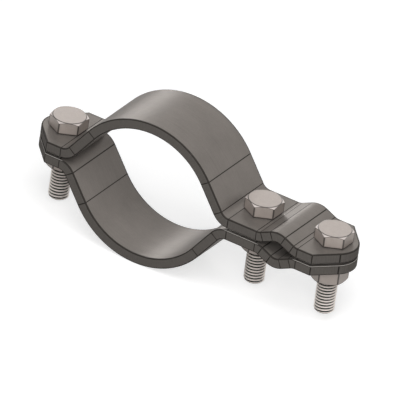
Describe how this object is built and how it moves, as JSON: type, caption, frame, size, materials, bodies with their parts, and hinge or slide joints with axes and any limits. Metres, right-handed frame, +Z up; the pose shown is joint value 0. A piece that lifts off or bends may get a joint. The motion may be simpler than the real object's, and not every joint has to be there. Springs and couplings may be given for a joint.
{
  "type": "pipe clamp",
  "caption": "Bolted pipe clamp of formed steel strip halves, with a round pipe saddle and a small side eye that grips a round conductor.",
  "frame": {"origin": "centre of the pipe opening, on the mid-plane between the halves, at half the strip's width", "axes": "+X along the ears towards the end with the conductor eye, +Y along the pipe, +Z up towards the bolt heads"},
  "size_m": [0.1382, 0.03, 0.06],
  "materials": {
    "band_steel": "satin galvanised strip steel, warm mid-grey",
    "bolt_steel": "satin zinc-plated steel, light warm grey"
  },
  "bodies": {
    "upper_band": {"upper_band": "band_steel"},
    "lower_band": {"lower_band": "band_steel"},
    "left_bolt": {"left_bolt": "bolt_steel"},
    "middle_bolt": {"middle_bolt": "bolt_steel"},
    "right_bolt": {"right_bolt": "bolt_steel"},
    "left_nut": {"left_nut": "bolt_steel"},
    "middle_nut": {"middle_nut": "bolt_steel"},
    "right_nut": {"right_nut": "bolt_steel"}
  },
  "joints": [
    {"name": "left_bolt_turn", "type": "hinge", "parent": "upper_band", "child": "left_bolt", "pos_m": [-0.04355, 0, 0.0045], "axis": [0, 0, 1], "range_deg": [-288, 4320]},
    {"name": "middle_bolt_turn", "type": "hinge", "parent": "upper_band", "child": "middle_bolt", "pos_m": [0.04355, 0, 0.0045], "axis": [0, 0, 1], "range_deg": [-288, 4320]},
    {"name": "right_bolt_turn", "type": "hinge", "parent": "upper_band", "child": "right_bolt", "pos_m": [0.07473, 0, 0.0045], "axis": [0, 0, 1], "range_deg": [-288, 4320]},
    {"name": "upper_band_lift", "type": "slide", "parent": "lower_band", "child": "upper_band", "axis": [0, 0, 1], "range_m": [-0.001, 0.015]},
    {"name": "left_nut_travel", "type": "slide", "parent": "upper_band", "child": "left_nut", "axis": [0, 0, -1], "range_m": [-0.001, 0.015]},
    {"name": "middle_nut_travel", "type": "slide", "parent": "upper_band", "child": "middle_nut", "axis": [0, 0, -1], "range_m": [-0.001, 0.015]},
    {"name": "right_nut_travel", "type": "slide", "parent": "upper_band", "child": "right_nut", "axis": [0, 0, -1], "range_m": [-0.001, 0.015]}
  ],
  "couplings": [
    {"joint": "left_bolt_turn", "follows": "upper_band_lift", "rad_per_m": 5026.5},
    {"joint": "middle_bolt_turn", "follows": "upper_band_lift", "rad_per_m": 5026.5},
    {"joint": "right_bolt_turn", "follows": "upper_band_lift", "rad_per_m": 5026.5},
    {"joint": "left_nut_travel", "follows": "upper_band_lift", "ratio": 1},
    {"joint": "middle_nut_travel", "follows": "upper_band_lift", "ratio": 1},
    {"joint": "right_nut_travel", "follows": "upper_band_lift", "ratio": 1}
  ]
}
